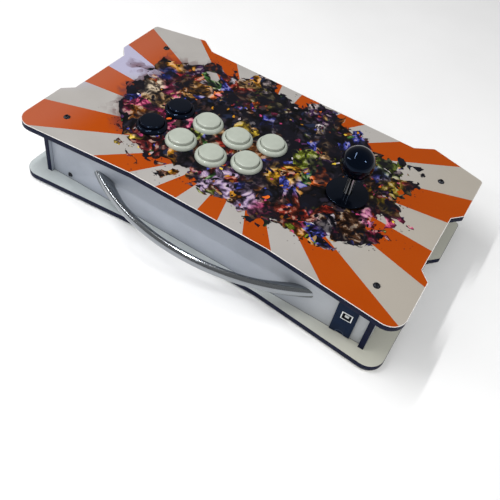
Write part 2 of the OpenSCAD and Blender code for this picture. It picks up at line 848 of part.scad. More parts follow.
base_board();
top_board();
printed_film();
rear_wall();
front_wall();
side_wall(-1);  // side_wall_left
side_wall(1);  // side_wall_right
corner_posts();
wall_cleats();
panel_screws();
base_screws();
wall_screws();
rubber_feet();
foot_screws();
carry_handle();
handle_screws();
inlet_plate();
inlet_bezel();
inlet_socket();
inlet_tongue();
encoder_board();
encoder_sockets();
encoder_spacers();
encoder_screws();
inlet_lead();
stick_lead();
button_loom();
stick_plate();
stick_housing();
stick_frame();
stick_gate();
stick_switches();
stick_mount_screws();
stick_case_screws();
swivel_bush();
stick_shaft();
pivot_ball();
return_spring();
actuator();
shaft_clip();
ball_top();
slide_washer();
dust_washer();
button_switches();
for (i = [1:8]) {
    button_body(i);
    plunger(i);
}
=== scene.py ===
import json
import math
import bpy
import bmesh
from mathutils import Matrix, Vector


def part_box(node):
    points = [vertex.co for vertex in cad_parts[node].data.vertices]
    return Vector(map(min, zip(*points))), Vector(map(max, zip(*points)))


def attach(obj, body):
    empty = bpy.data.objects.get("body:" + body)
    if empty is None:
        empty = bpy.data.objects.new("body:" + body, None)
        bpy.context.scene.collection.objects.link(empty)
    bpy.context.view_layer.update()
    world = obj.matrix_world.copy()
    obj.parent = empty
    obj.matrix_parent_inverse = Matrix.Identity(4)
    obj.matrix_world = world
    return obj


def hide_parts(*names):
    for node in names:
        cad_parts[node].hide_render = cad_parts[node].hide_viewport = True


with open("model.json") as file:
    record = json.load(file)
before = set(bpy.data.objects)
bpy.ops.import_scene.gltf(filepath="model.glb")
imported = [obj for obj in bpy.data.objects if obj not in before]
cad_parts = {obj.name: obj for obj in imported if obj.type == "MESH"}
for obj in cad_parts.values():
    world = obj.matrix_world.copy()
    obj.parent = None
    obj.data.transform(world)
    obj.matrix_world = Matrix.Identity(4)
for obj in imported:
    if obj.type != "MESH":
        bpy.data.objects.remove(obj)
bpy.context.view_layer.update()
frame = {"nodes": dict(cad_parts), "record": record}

# Arcade joystick panel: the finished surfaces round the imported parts.
# Metres, in the frame of the parts: +Z up, -Y the player's side, origin on the table.

MM = 0.001
X, Y, Z = range(3)
UP = Vector((0, 0, 1))
DOWN = -UP
SAME_POINT = 0.001 * MM             # points closer than this are one point
SMOOTH_ANGLE = math.radians(35)     # edges sharper than this stay sharp
ROUND_POINTS, ROUND_WITHIN = 10, 0.02   # so many points, with radii this close, are a circle
QUARTER = 90                        # degrees in a quarter turn


# --- Reading the frame ---

def middle(node):
    """Middle of a node's box."""
    low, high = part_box(node)
    return (low + high) / 2


def point_key(p):
    """A point as numbers that two copies of it share."""
    return tuple(round(c / MM, 3) for c in p)


def solids(node):
    """(lowest corner, highest corner) of each separate solid in a node."""
    mesh = frame["nodes"][node].data
    keys = [point_key(v.co) for v in mesh.vertices]
    parent = {k: k for k in keys}

    def root(k):
        while parent[k] != k:
            parent[k] = parent[parent[k]]
            k = parent[k]
        return k

    for polygon in mesh.polygons:
        first = root(keys[polygon.vertices[0]])
        for i in polygon.vertices[1:]:
            parent[root(keys[i])] = first
    groups = {}
    for k in parent:
        groups.setdefault(root(k), []).append(k)
    boxes = [
        (Vector([min(p[a] for p in g) for a in range(3)]) * MM,
         Vector([max(p[a] for p in g) for a in range(3)]) * MM)
        for g in groups.values()
    ]
    return sorted(boxes, key=lambda b: point_key(b[0]))


def face_loops(node, axis):
    """Closed loops of points round a node's outermost flat face along an axis."""
    mesh = frame["nodes"][node].data
    level = max(v.co[axis] for v in mesh.vertices)
    follow = {}
    for polygon in mesh.polygons:
        ring = [mesh.vertices[i].co for i in polygon.vertices]
        if any(abs(p[axis] - level) > SAME_POINT for p in ring):
            continue
        keys = [point_key(p) for p in ring]
        for a, b in zip(keys, keys[1:] + keys[:1]):
            if a in follow.get(b, ()):
                follow[b].remove(a)
            else:
                follow.setdefault(a, []).append(b)
    loops = []
    while any(follow.values()):
        start = next(k for k in follow if follow[k])
        loop, here = [start], follow[start].pop()
        while here != start:
            loop.append(here)
            here = follow[here].pop()
        loops.append([Vector(p) * MM for p in loop])
    return loops


# --- Building meshes ---

class Shape:
    """Collects points and faces, and becomes one piece."""

    def __init__(self):
        self.points, self.faces, self.skins = [], [], []

    def add(self, part, place=Matrix.Identity(4), skin=0):
        """Adds points and faces, which all get one skin unless the part brings its own list."""
        points, faces, *skins = part
        start = len(self.points)
        self.points += [place @ Vector(p) for p in points]
        self.faces += [[start + i for i in f] for f in faces]
        self.skins += skins[0] if skins else [skin] * len(faces)
        return self

    def mesh(self, name, materials):
        """Welded mesh with its faces turned outward. A face's skin is its place in materials."""
        mesh = bpy.data.meshes.new(name)
        mesh.from_pydata(self.points, [], self.faces)
        mesh.polygons.foreach_set("material_index", self.skins)
        work = bmesh.new()
        work.from_mesh(mesh)
        bmesh.ops.remove_doubles(work, verts=work.verts, dist=SAME_POINT / 2)
        bmesh.ops.recalc_face_normals(work, faces=work.faces)
        work.to_mesh(mesh)
        work.free()
        mesh.shade_smooth()
        mesh.set_sharp_from_angle(angle=SMOOTH_ANGLE)
        for m in materials:
            mesh.materials.append(m)
        return mesh

    def piece(self, name, body, slot, materials, *nodes):
        """Shows the shape as a piece that rides on a body and stands for CAD nodes."""
        show(name, self.mesh(name, materials), body, nodes)


def show(name, mesh, body, nodes, place=None):
    """Shows a mesh as a piece that rides on a body and stands for CAD nodes."""
    piece = bpy.data.objects.new(name, mesh)
    bpy.context.scene.collection.objects.link(piece)
    if place is not None:
        piece.location = place
    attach(piece, body)
    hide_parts(*nodes)


def stand(point, up=UP, turn=0.0):
    """Matrix that puts a shape's origin at a point and its +Z along up."""
    return (Matrix.Translation(point) @ Vector(up).to_track_quat("Z", "Y").to_matrix().to_4x4()
            @ Matrix.Rotation(turn, 4, "Z"))


def arc(cx, cz, radius, start, end, steps):
    """Points of an arc in a profile, angles in degrees."""
    angles = [math.radians(start + (end - start) * k / steps) for k in range(steps + 1)]
    return [(cx + radius * math.cos(a), cz + radius * math.sin(a)) for a in angles]


def lathe(rings, steps=96):
    """A turned shape. A ring is (radius, height); radius may be a function of the angle."""
    points, faces = [], []
    for radius, height in rings:
        for k in range(steps):
            a = 2 * math.pi * k / steps
            r = radius(a) if callable(radius) else radius
            points.append((r * math.cos(a), r * math.sin(a), height))
    for i in range(len(rings) - 1):
        for k in range(steps):
            a, b = i * steps + k, i * steps + (k + 1) % steps
            faces.append((a, b, b + steps, a + steps))
    return points, faces


def block(low, high, bevel=0.3 * MM):
    """A box with rounded edges, each at most 0.4 of its thinnest side."""
    work = bmesh.new()
    bmesh.ops.create_cube(work, size=1)
    size = Vector(high) - Vector(low)
    for v in work.verts:
        v.co = Vector(low) + Vector([(v.co[a] + 0.5) * size[a] for a in range(3)])
    bevel = min(bevel, 0.4 * min(size))
    bmesh.ops.bevel(work, geom=work.edges[:], offset=bevel, segments=2, profile=0.5, affect="EDGES")
    return taken(work)


def taken(work):
    """Points and faces of a working mesh, which is freed."""
    work.verts.index_update()
    points = [v.co.copy() for v in work.verts]
    faces = [[v.index for v in f.verts] for f in work.faces]
    work.free()
    return points, faces


def finer(loop, axis, steps=96):
    """A loop that is round becomes a finer circle, and any other stays."""
    centre = sum(loop, Vector()) / len(loop)
    spans = [(p - centre).length for p in loop]
    if len(loop) < ROUND_POINTS or max(spans) - min(spans) > ROUND_WITHIN * max(spans):
        return loop
    i, j = [a for a in range(3) if a != axis]
    ring = []
    for k in range(steps):
        p = centre.copy()
        p[i] += max(spans) * math.cos(2 * math.pi * k / steps)
        p[j] += max(spans) * math.sin(2 * math.pi * k / steps)
        ring.append(p)
    return ring


def signed_area(loop, i, j):
    """Area inside a flat loop, negative where it runs clockwise."""
    return sum(a[i] * b[j] - b[i] * a[j] for a, b in zip(loop, loop[1:] + loop[:1])) / 2


def inset(loop, i, j, distance):
    """The loop moved sideways into the solid, which lies on its left."""
    sharpest = 0.4      # keeps a very sharp corner from moving too far
    moved = []
    n = len(loop)
    for k, p in enumerate(loop):
        before, after = loop[k - 1], loop[(k + 1) % n]
        u = Vector((p[i] - before[i], p[j] - before[j])).normalized()
        w = Vector((after[i] - p[i], after[j] - p[j])).normalized()
        side = Vector((-u.y - w.y, u.x + w.x)).normalized()
        reach = distance / max(sharpest, side.dot(Vector((-u.y, u.x))))
        q = p.copy()
        q[i] += side.x * reach
        q[j] += side.y * reach
        moved.append(q)
    return moved


def slab(node, axis, bevel, border=0.0):
    """A flat part, cut along the loops of its CAD face, with rounded edges.
    Faces across the axis get skin 0, and edges, with a border round the top face, skin 1."""
    low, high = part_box(node)
    i, j = [a for a in range(3) if a != axis]
    loops = [finer(loop, axis) for loop in face_loops(node, axis)]
    loops.sort(key=lambda loop: -abs(signed_area(loop, i, j)))
    for k, loop in enumerate(loops):
        if (signed_area(loop, i, j) > 0) != (k == 0):
            loop.reverse()
    bends = [math.radians(QUARTER * k / 3) for k in range(4)]
    turn = [(bevel * (1 - math.sin(a)), bevel * (1 - math.cos(a))) for a in bends]
    rings = [(d, low[axis] + h) for d, h in turn]
    rings += [(d, high[axis] - h) for d, h in reversed(turn)]
    if border:
        rings.append((bevel + border, high[axis]))
    points, faces, skins = [], [], []
    bottoms, tops = [], []
    for loop in loops:
        n, start = len(loop), len(points)
        for distance, level in rings:
            for p in inset(loop, i, j, distance):
                p[axis] = level
                points.append(p)
        for r in range(len(rings) - 1):
            for k in range(n):
                a, b = start + r * n + k, start + r * n + (k + 1) % n
                faces.append((a, b, b + n, a + n))
                skins.append(1)
        bottoms.append([start + k for k in range(n)])
        tops.append([start + (len(rings) - 1) * n + k for k in range(n)])
    for rims in (bottoms, tops):
        for face in filled(points, rims):
            faces.append(face)
            skins.append(0)
    return points, faces, skins


def filled(points, rims):
    """Triangles that fill a flat outline, with its holes left open."""
    work = bmesh.new()
    index = {}
    edges = []
    for rim in rims:
        verts = [work.verts.new(points[k]) for k in rim]
        index.update(zip(verts, rim))
        edges += [work.edges.new(pair) for pair in zip(verts, verts[1:] + verts[:1])]
    bmesh.ops.triangle_fill(work, edges=edges, use_beauty=True)
    faces = [[index[v] for v in f.verts] for f in work.faces]
    work.free()
    return faces


def hexagon(apothem):
    """Radius of a hexagon at an angle."""
    sixth = math.pi / 3
    return lambda a: apothem / math.cos(a % sixth - sixth / 2)


def thread(radius, pitch, height):
    """Radius of a screw thread at an angle, for a ring at one height. It is 0.35 pitches deep."""
    depth = 0.35 * pitch
    return lambda a: radius - depth * abs(2 * ((height / pitch + a / (2 * math.pi)) % 1) - 1)


def button_screw(head_d, head_h, shank_d, length):
    """Domed screw with a hexagon socket, its head standing on z = 0."""
    r, edge, socket = head_d / 2, 0.12 * head_h, 0.21 * head_d
    shank_r, neck, plain = shank_d / 2, 0.4 * shank_d, 0.6 * shank_d
    pitch, rings_a_turn, dome_rings = 0.16 * shank_d, 3, 8
    # Tip and thread, from the bottom up
    rings = [(0, -length), (0.36 * shank_d, -length), (0.42 * shank_d, 0.1 * shank_d - length)]
    for k in range(int(rings_a_turn * (length - plain) / pitch), -1, -1):
        z = -neck - k * pitch / rings_a_turn
        rings.append((thread(shank_r, pitch, z), z))
    rings += [(shank_r, -0.3 * shank_d), (shank_r, 0), (r - edge, 0), (r, edge)]
    # Dome, from its edge to the socket's mouth
    dome = 1.02 * (r * r + head_h * head_h) / (2 * head_h)
    drop = math.sqrt(dome * dome - (r * r)) - edge
    mouth = 1.25 * socket
    for k in range(dome_rings - 1, 0, -1):
        x = mouth + (r - mouth) * k / dome_rings
        rings.append((x, min(head_h, math.sqrt(dome * dome - x * x) - drop)))
    rings += [(1.22 * socket, head_h), (hexagon(socket), head_h - 0.1 * MM)]
    rings += [(hexagon(0.96 * socket), 0.45 * head_h), (0.3 * socket, 0.36 * head_h), (0, 0.3 * head_h)]
    return lathe(rings, 36)


# --- Materials ---

def rgb(code):
    """Linear colour of a code such as #C0603F."""
    def linear(c):
        return c / 12.92 if c <= 0.04045 else ((c + 0.055) / 1.055) ** 2.4
    return tuple(linear(int(code[k:k + 2], 16) / 255) for k in (1, 3, 5)) + (1,)


class Graph:
    """Short forms for the nodes of one material."""

    def __init__(self, name):
        self.material = bpy.data.materials.new(name)
        self.material.use_nodes = True
        self.tree = self.material.node_tree
        self.shader = self.tree.nodes["Principled BSDF"]
        self.place = self.node("ShaderNodeTexCoord").outputs["Object"]

    def node(self, kind, **settings):
        """A new node with its settings."""
        made = self.tree.nodes.new(kind)
        for key, value in settings.items():
            setattr(made, key, value)
        return made

    def feed(self, value, socket):
        """Links an output to a socket, or sets the socket's value."""
        if isinstance(value, bpy.types.NodeSocket):
            self.tree.links.new(value, socket)
        else:
            socket.default_value = value

    def math(self, operation, a, b=0.0):
        made = self.node("ShaderNodeMath", operation=operation)
        self.feed(a, made.inputs[0])
        self.feed(b, made.inputs[1])
        return made.outputs[0]

    def vector(self, operation, a, b):
        made = self.node("ShaderNodeVectorMath", operation=operation)
        self.feed(a, made.inputs[0])
        self.feed(b, made.inputs[1])
        return made.outputs[0]

    def noise(self, scale, detail=3.0, place=None, rough=0.5, colour=False):
        """Soft noise about 0.5, or three of them as a colour, so many cells a metre."""
        made = self.node("ShaderNodeTexNoise")
        self.feed(place or self.place, made.inputs["Vector"])
        made.inputs["Scale"].default_value = scale
        made.inputs["Detail"].default_value = detail
        made.inputs["Roughness"].default_value = rough
        return made.outputs["Color" if colour else "Fac"]

    def cells(self, scale, place=None, output="Color"):
        """Cells that each have three random shares as their colour, so many a metre."""
        made = self.node("ShaderNodeTexVoronoi")
        self.feed(place or self.place, made.inputs["Vector"])
        made.inputs["Scale"].default_value = scale
        return made.outputs[output]

    def distance(self, point, axes):
        """Distance of the surface from a point, along the axes that are 1 and not 0."""
        away = self.vector("MULTIPLY", self.vector("SUBTRACT", self.place, point), axes)
        made = self.node("ShaderNodeVectorMath", operation="LENGTH")
        self.feed(away, made.inputs[0])
        return made.outputs["Value"]

    def span(self, value, low, high, to_low=0.0, to_high=1.0):
        """A smooth step from to_low to to_high as the value goes from low to high."""
        made = self.node("ShaderNodeMapRange", interpolation_type="SMOOTHSTEP")
        for k, v in enumerate((value, low, high, to_low, to_high)):
            self.feed(v, made.inputs[k])
        return made.outputs[0]

    def ramp(self, value, stops, mode="LINEAR"):
        """Colour of a value on a band of (place, code) stops."""
        made = self.node("ShaderNodeValToRGB")
        band = made.color_ramp
        band.interpolation = mode
        while len(band.elements) < len(stops):
            band.elements.new(1)
        for element, (at, code) in zip(band.elements, stops):
            element.position = at
            element.color = rgb(code)
        self.feed(value, made.inputs[0])
        return made.outputs[0]

    def mix(self, share, a, b, mode="MIX"):
        """Colour a turned to b by a share."""
        made = self.node("ShaderNodeMix", data_type="RGBA", blend_type=mode)
        self.feed(share, made.inputs[0])
        self.feed(a, made.inputs[6])
        self.feed(b, made.inputs[7])
        return made.outputs[2]

    def split(self, place):
        """X, Y and Z of a place, or the three shares of a colour."""
        made = self.node("ShaderNodeSeparateXYZ")
        self.feed(place, made.inputs[0])
        return made.outputs

    def finish(self, colour, roughness, relief=None, depth=0.02 * MM, **values):
        """Feeds the shader. Values are uniform, and set on its own sockets."""
        self.feed(colour, self.shader.inputs["Base Color"])
        self.feed(roughness, self.shader.inputs["Roughness"])
        if relief is not None:
            bump = self.node("ShaderNodeBump")
            bump.inputs["Strength"].default_value = 1.0
            bump.inputs["Distance"].default_value = depth
            self.feed(relief, bump.inputs["Height"])
            self.feed(bump.outputs[0], self.shader.inputs["Normal"])
        for key, value in values.items():
            self.shader.inputs[key.replace("_", " ")].default_value = value
        return self.material


LIGHT_CAST_END, LIGHT_CAST_START = -200 * MM, -40 * MM      # places along X, at the joystick's end and before it, over which the painted warm cast of the light fades in


def finish_of(name, dark, light, rough, grain, depth, stretch=(1, 1, 1), spread=0.06, light_cast=None, **values):
    """A surface whose tone, gloss and fine relief drift over it. Grain is in cells a metre.
    Toward the joystick's end of the panel it turns to a painted colour cast of the light, if such a colour
    is given."""
    g = Graph(name)
    place = g.vector("MULTIPLY", g.place, stretch)
    broad = g.noise(grain * 0.04, 2.0, place)
    fine = g.noise(grain, 4.0, place, 0.6)
    tone = g.math("ADD", g.math("MULTIPLY", broad, 0.6), g.math("MULTIPLY", fine, 0.4))
    colour = g.ramp(tone, [(0.36, dark), (0.64, light)])
    # Painted colour cast of the light, strongest at the joystick's end
    if light_cast:
        share = g.span(g.split(g.place)[0], LIGHT_CAST_END, LIGHT_CAST_START, 0.9, 0.0)
        colour = g.mix(share, colour, rgb(light_cast))
    gloss = g.span(g.noise(grain * 0.3, 3.0, place), 0.3, 0.7, rough - spread, rough + spread)
    return g.finish(colour, gloss, fine, depth, **values)


def brushed(name, dark, light, rough, along, depth):
    """Metal with streaks along its length, which is the second number of its own map."""
    g = Graph(name)
    own = g.node("ShaderNodeTexCoord").outputs["UV"]
    streak = g.noise(1.0, 2.0, g.vector("MULTIPLY", own, along), 0.65)
    colour = g.ramp(streak, [(0.3, dark), (0.7, light)])
    gloss = g.span(streak, 0.25, 0.75, rough - 0.05, rough + 0.05)
    return g.finish(colour, gloss, streak, depth, Metallic=1.0)


# Sunburst: sectors round a point of the panel, one orange and one paper to each step
BURST_X, BURST_Y = 4.7 * MM, -4.6 * MM
BURST_STEP = math.radians(24)
BURST_FIRST = math.radians(26.3)    # middle of one orange sector
BURST_SHARE = 11.4 / 24             # orange part of a step
BURST_TURNS = 30.0                  # whole steps, added so that the count is never negative

# Splash of paint round the controls: a rounded box with a torn edge
SPLASH_X, SPLASH_Y = -1 * MM, -16 * MM
SPLASH_HALF_X, SPLASH_HALF_Y = 167 * MM, 106 * MM
SPLASH_POWER = 2.8                  # 2 is an ellipse, more is squarer
SPLASH_EDGE = 0.97                  # reach at which the paint ends
CLUMPS, PETALS, FLECKS, DROPS = 42, 125, 330, 230   # cells a metre

# Drifts of colour in the splash: middle and reach in mm, code, and how much livelier it gets there
DRIFTS = [
    (-6, 68, 46, "#9C86AA", 0.24), (96, 70, 44, "#6A2024", 0.06), (128, 66, 24, "#7A2A24", 0.08),
    (-41, 9, 24, "#C8961E", 0.24), (-146, 7, 18, "#C878A0", 0.2), (-136, -96, 44, "#66762A", 0.12),
    (157, -20, 24, "#B9A890", 0.14), (154, -52, 16, "#3A50B8", 0.25), (136, -56, 14, "#A02428", 0.25),
    (112, -48, 28, "#9A6A2E", 0.16), (30, -92, 38, "#6E6430", 0.02), (-17, -66, 30, "#2A3040", -0.3),
    (58, -42, 30, "#2A2228", -0.25), (-92, -44, 30, "#2C2A34", -0.25), (-150, -34, 34, "#8E7A1E", 0.12),
    (-78, 52, 34, "#7A3020", 0.02), (52, 88, 24, "#6E4028", 0.05),
]

DARKS = [(0.0, "#0B0B14"), (0.2, "#14131C"), (0.38, "#221F2A"), (0.56, "#302A34"), (0.72, "#3A2A28"),
         (0.86, "#1B2238")]
BRIGHTS = [(0.0, "#7A4512"), (0.11, "#4E3220"), (0.21, "#8E2A1C"), (0.3, "#B87C18"), (0.38, "#43284F"),
           (0.47, "#7A2340"), (0.55, "#9A784F"), (0.62, "#3D46A0"), (0.68, "#D8641E"), (0.74, "#6D7A1E"),
           (0.8, "#B8406E"), (0.85, "#A5979A"), (0.9, "#3E6A34"), (0.94, "#C9C0C8"), (0.97, "#D8B83A")]


def sunburst(g, x, y):
    """Colour of the orange sectors and the off-white paper, which both drift over the panel."""
    angle = g.math("ARCTAN2", g.math("SUBTRACT", y, BURST_Y), g.math("SUBTRACT", x, BURST_X))
    first_edge = BURST_FIRST - BURST_STEP * BURST_SHARE / 2
    turn = g.math("DIVIDE", g.math("SUBTRACT", angle, first_edge), BURST_STEP)
    sector = g.math("LESS_THAN", g.math("FRACT", g.math("ADD", turn, BURST_TURNS)), BURST_SHARE)
    # The orange dulls at the black buttons' end, and the paper takes a painted warm cast of the light toward
    # the joystick's end
    orange = g.mix(g.span(x, 0.15, 0.21), rgb("#9F3D00"), rgb("#A2533A"))
    mottled = g.mix(g.math("MULTIPLY", g.noise(22, 2.0), 0.16), orange, rgb("#BE600C"))
    paper = g.ramp(g.noise(14, 3.0), [(0.3, "#9C9894"), (0.7, "#A7A39F")])
    paper = g.mix(g.span(x, -0.2, -0.1, 0.7, 0.0), paper, rgb("#A79F92"))
    # One sector of paper, near the front corner of the black buttons' end, is cooler: a painted cool cast of
    # the light there
    cool = g.span(g.math("ADD", y, g.math("MULTIPLY", x, 0.42)), -0.005, 0.01)
    cool = g.math("MULTIPLY", cool, g.span(g.math("SUBTRACT", x, y), 0.16, 0.22))
    paper = g.mix(cool, paper, rgb("#A8A5BC"))
    return g.mix(sector, paper, mottled)


def splash_reach(g, x, y, clump, petal):
    """How far out a point lies in the splash. Whole clusters and petals move it, so the edge is torn."""
    near_x = g.math("DIVIDE", g.math("SUBTRACT", x, SPLASH_X), SPLASH_HALF_X)
    near_y = g.math("DIVIDE", g.math("SUBTRACT", y, SPLASH_Y), SPLASH_HALF_Y)
    reach = g.math("POWER", g.math("ADD", g.math("POWER", g.math("ABSOLUTE", near_x), SPLASH_POWER),
                                   g.math("POWER", g.math("ABSOLUTE", near_y), SPLASH_POWER)),
                   1 / SPLASH_POWER)
    tear = g.math("ADD", g.math("MULTIPLY", clump[2], 0.14), g.math("MULTIPLY", petal[2], 0.07))
    tear = g.math("ADD", tear, g.math("MULTIPLY", g.noise(17, 4.0, rough=0.55), 0.62))
    return g.math("ADD", reach, g.math("SUBTRACT", tear, 0.42))


def splash_hues(g, clump, petal):
    """Hue of each cluster and how lively it is. A drift tints its clusters, and a few petals stray."""
    hue = g.ramp(clump[1], BRIGHTS, "CONSTANT")
    push = 0.0      # how much livelier the drifts make it
    for px, py, wide, code, gain in DRIFTS:
        far = g.distance((px * MM, py * MM, 0), (1, 1, 0))
        share = g.span(far, 0.55 * wide * MM, wide * MM, 1.0, 0.0)
        push = g.math("ADD", push, g.math("MULTIPLY", share, gain))
        hue = g.mix(g.math("MULTIPLY", share, g.math("GREATER_THAN", petal[1], 0.22)), hue, rgb(code))
    hue = g.mix(g.math("GREATER_THAN", petal[0], 0.9), hue, g.ramp(petal[1], BRIGHTS, "CONSTANT"))
    lively = g.math("ADD", g.math("MULTIPLY", clump[0], 0.42), g.math("MULTIPLY", petal[2], 0.1))
    lively = g.math("ADD", g.math("ADD", lively, push), g.math("MULTIPLY", g.noise(30, 3.0), 0.9))
    return hue, g.span(lively, 0.63, 0.69)


def splash_paint(g, bent, clump, petal):
    """Dark and lively petals, each with a lit middle and a dark seam, under flecks and shadows."""
    hue, lively = splash_hues(g, clump, petal)
    paint = g.mix(lively, g.ramp(petal[0], DARKS, "CONSTANT"), hue)
    round_off = g.cells(PETALS, bent, output="Distance")
    form = g.math("SUBTRACT", g.noise(150, 4.0, bent, 0.62), g.math("MULTIPLY", round_off, 0.36))
    shade = g.ramp(form, [(0.12, "#14141A"), (0.28, "#7A7678"), (0.4, "#FFFFFF")])
    paint = g.mix(1.0, paint, shade, "MULTIPLY")
    gleam = g.math("MULTIPLY", g.span(form, 0.38, 0.46), g.math("MULTIPLY", lively, 0.45))
    paint = g.mix(gleam, paint, g.mix(0.5, hue, rgb("#FFEFD8")))
    fleck = g.split(g.cells(FLECKS, bent))
    paint = g.mix(g.math("GREATER_THAN", fleck[0], 0.965), paint, g.ramp(fleck[1], BRIGHTS, "CONSTANT"))
    paint = g.mix(g.math("LESS_THAN", fleck[2], 0.12), paint, rgb("#08080F"))
    shadow = g.span(g.noise(26, 2.0), 0.5, 0.58, 0.0, 0.85)
    return g.mix(shadow, paint, rgb("#0E0D16"))


def film_print():
    """Printed film: a sunburst with an abstract splash of dark, many-coloured paint."""
    g = Graph("film_print")
    x, y, _ = g.split(g.place)
    swirl = g.vector("SUBTRACT", g.noise(38, 2.0, colour=True), (0.5, 0.5, 0.5))
    bent = g.vector("MULTIPLY", g.vector("ADD", g.place, g.vector("MULTIPLY", swirl, (0.022, 0.022, 0))),
                    (1, 1, 0))
    clump = g.split(g.cells(CLUMPS, bent))
    petal = g.split(g.cells(PETALS, bent))
    reach = splash_reach(g, x, y, clump, petal)
    # Smoky halo, at the black buttons' end of the panel and clear of the rear edge
    halo = g.math("MULTIPLY", g.span(reach, SPLASH_EDGE - 0.02, SPLASH_EDGE + 0.13, 0.8, 0.0),
                  g.span(g.math("ADD", x, g.math("MULTIPLY", y, 0.6)), 0.02, 0.13))
    halo = g.math("MULTIPLY", halo, g.span(y, 0.05, 0.08, 1.0, 0.0))
    smoke = g.ramp(g.noise(20, 2.0), [(0.35, "#5A1E22"), (0.6, "#4A3038")])
    shown = g.mix(halo, sunburst(g, x, y), smoke)
    # Stray drops beyond the edge
    spot = g.math("LESS_THAN", g.cells(DROPS, output="Distance"), 0.2)
    stray = g.math("MULTIPLY", spot, g.span(reach, SPLASH_EDGE, SPLASH_EDGE + 0.15, 1.0, 0.0))
    stray = g.math("MULTIPLY", stray, g.math("GREATER_THAN", g.noise(60, 2.0), 0.5))
    shown = g.mix(stray, shown, rgb("#221820"))
    inside = g.span(reach, SPLASH_EDGE - 0.005, SPLASH_EDGE + 0.005, 1.0, 0.0)
    shown = g.mix(inside, shown, splash_paint(g, bent, clump, petal))
    gloss = g.span(g.noise(300, 3.0), 0.3, 0.7, 0.28, 0.38)
    return g.finish(shown, gloss, g.noise(1500, 2.0), 0.004 * MM, Specular_IOR_Level=0.13)


def cut_edge(name, dark, light):
    """Dark edge of a cut board, with fine marks across its thickness."""
    g = Graph(name)
    marks = g.noise(900, 4.0, g.vector("MULTIPLY", g.place, (1, 1, 0.06)), 0.7)
    layers = g.noise(1400, 2.0, g.vector("MULTIPLY", g.place, (0.05, 0.05, 1)))
    tone = g.math("ADD", g.math("MULTIPLY", marks, 0.6), g.math("MULTIPLY", layers, 0.4))
    colour = g.ramp(tone, [(0.38, dark), (0.62, light)])
    return g.finish(colour, g.span(marks, 0.3, 0.7, 0.42, 0.6), tone, 0.03 * MM, Specular_IOR_Level=0.1)


def turned(name, dark, light, rough, metal=1.0):
    """Turned metal: fine rings round the Z axis of the frame."""
    g = Graph(name)
    rings = g.noise(2600, 3.0, g.vector("MULTIPLY", g.place, (0.12, 0.12, 1)), 0.6)
    colour = g.ramp(rings, [(0.3, dark), (0.7, light)])
    return g.finish(colour, g.span(rings, 0.3, 0.7, rough - 0.07, rough + 0.09), rings, 0.004 * MM,
                    Metallic=metal)


def streaked_with_highlights(name, dark, light, rough):
    """Polished steel rod: dark, with painted highlights as bright streaks along the Z axis of the frame."""
    g = Graph(name)
    streaks_and_highlights = g.noise(900, 2.0, g.vector("MULTIPLY", g.place, (1, 1, 0.02)))
    colour = g.ramp(streaks_and_highlights, [(0.45, dark), (0.6, light)])
    return g.finish(colour, g.span(streaks_and_highlights, 0.3, 0.7, rough - 0.05, rough + 0.05), streaks_and_highlights, 0.002 * MM,
                    Metallic=0.6)


# Painted highlight on the rim of the thumb notch: where it fades in and out, from the middle of the plate's
# foot
NOTCH_HIGHLIGHT_IN, NOTCH_HIGHLIGHT_OUT = (3.6 * MM, 4.4 * MM), (5.0 * MM, 5.8 * MM)


def plate_finish():
    """Dark moulded plate with a painted highlight on the rim round the thumb notch at its foot."""
    g = Graph("plate_black")
    low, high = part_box("inlet_plate")
    far = g.distance(((low.x + high.x) / 2, 0, low.z), (1, 0, 1))
    # The lighter colour round the notch is a painted highlight on its edge
    rim = g.math("MULTIPLY", g.span(far, *NOTCH_HIGHLIGHT_IN), g.span(far, *NOTCH_HIGHLIGHT_OUT, 1.0, 0.0))
    fine = g.noise(1500, 4.0, rough=0.6)
    tone = g.math("ADD", g.math("MULTIPLY", fine, 0.5), g.math("MULTIPLY", g.noise(90, 2.0), 0.5))
    colour = g.mix(g.math("MULTIPLY", rim, 0.8), g.ramp(tone, [(0.36, "#0D1A30"), (0.64, "#16253E")]),
                   rgb("#46536A"))
    return g.finish(colour, g.span(tone, 0.3, 0.7, 0.34, 0.46), fine, 0.008 * MM, Specular_IOR_Level=0.06)


# Both board finishes take a painted warm cast of the light toward the joystick's end
WHITE_BOARD = finish_of("white_board_face", "#AAB1B2", "#B6BCBD", 0.42, 900, 0.006 * MM, light_cast="#BCBBAE")
# The walls are the boards' white, painted darker and bluer: painted shade on their upright faces and a
# painted bluish cast of window light
SHADED_WALL_BOARD = finish_of("wall_board_shaded_face", "#979DA8", "#A1A7B2", 0.4, 900, 0.006 * MM, light_cast="#A9ACAF")
BOARD_EDGE = cut_edge("board_edge", "#060B20", "#0E1534")
FILM = film_print()
FILM_EDGE = finish_of("film_edge", "#D9D5D2", "#E8E5E3", 0.3, 1200, 0.004 * MM)
BARE_WOOD = finish_of("bare_wood", "#A98B62", "#C9AE84", 0.62, 1400, 0.05 * MM, (1, 0.12, 1))
DARK_SCREW = turned("dark_screw", "#1C1D22", "#3A3C43", 0.3, 0.7)
ZINC = turned("zinc_screw", "#9A9DA1", "#C4C7CA", 0.3)
POST_METAL = turned("post_metal", "#A4A7AB", "#CDD0D3", 0.26)
RUBBER = finish_of("foot_rubber", "#131314", "#232325", 0.78, 2600, 0.03 * MM)
PLATE_BLACK = plate_finish()
BEZEL_WHITE = finish_of("bezel_white", "#D4D8DA", "#E6E9EA", 0.4, 1500, 0.006 * MM)
SOCKET_METAL = finish_of("socket_metal", "#0E1016", "#1C2029", 0.4, 1800, 0.006 * MM)
TONGUE = finish_of("tongue_plastic", "#B9BDBD", "#D5D8D6", 0.45, 1800, 0.006 * MM)
CIRCUIT = finish_of("circuit_board", "#0E4526", "#1A6A3C", 0.38, 700, 0.01 * MM, Coat_Weight=0.4)
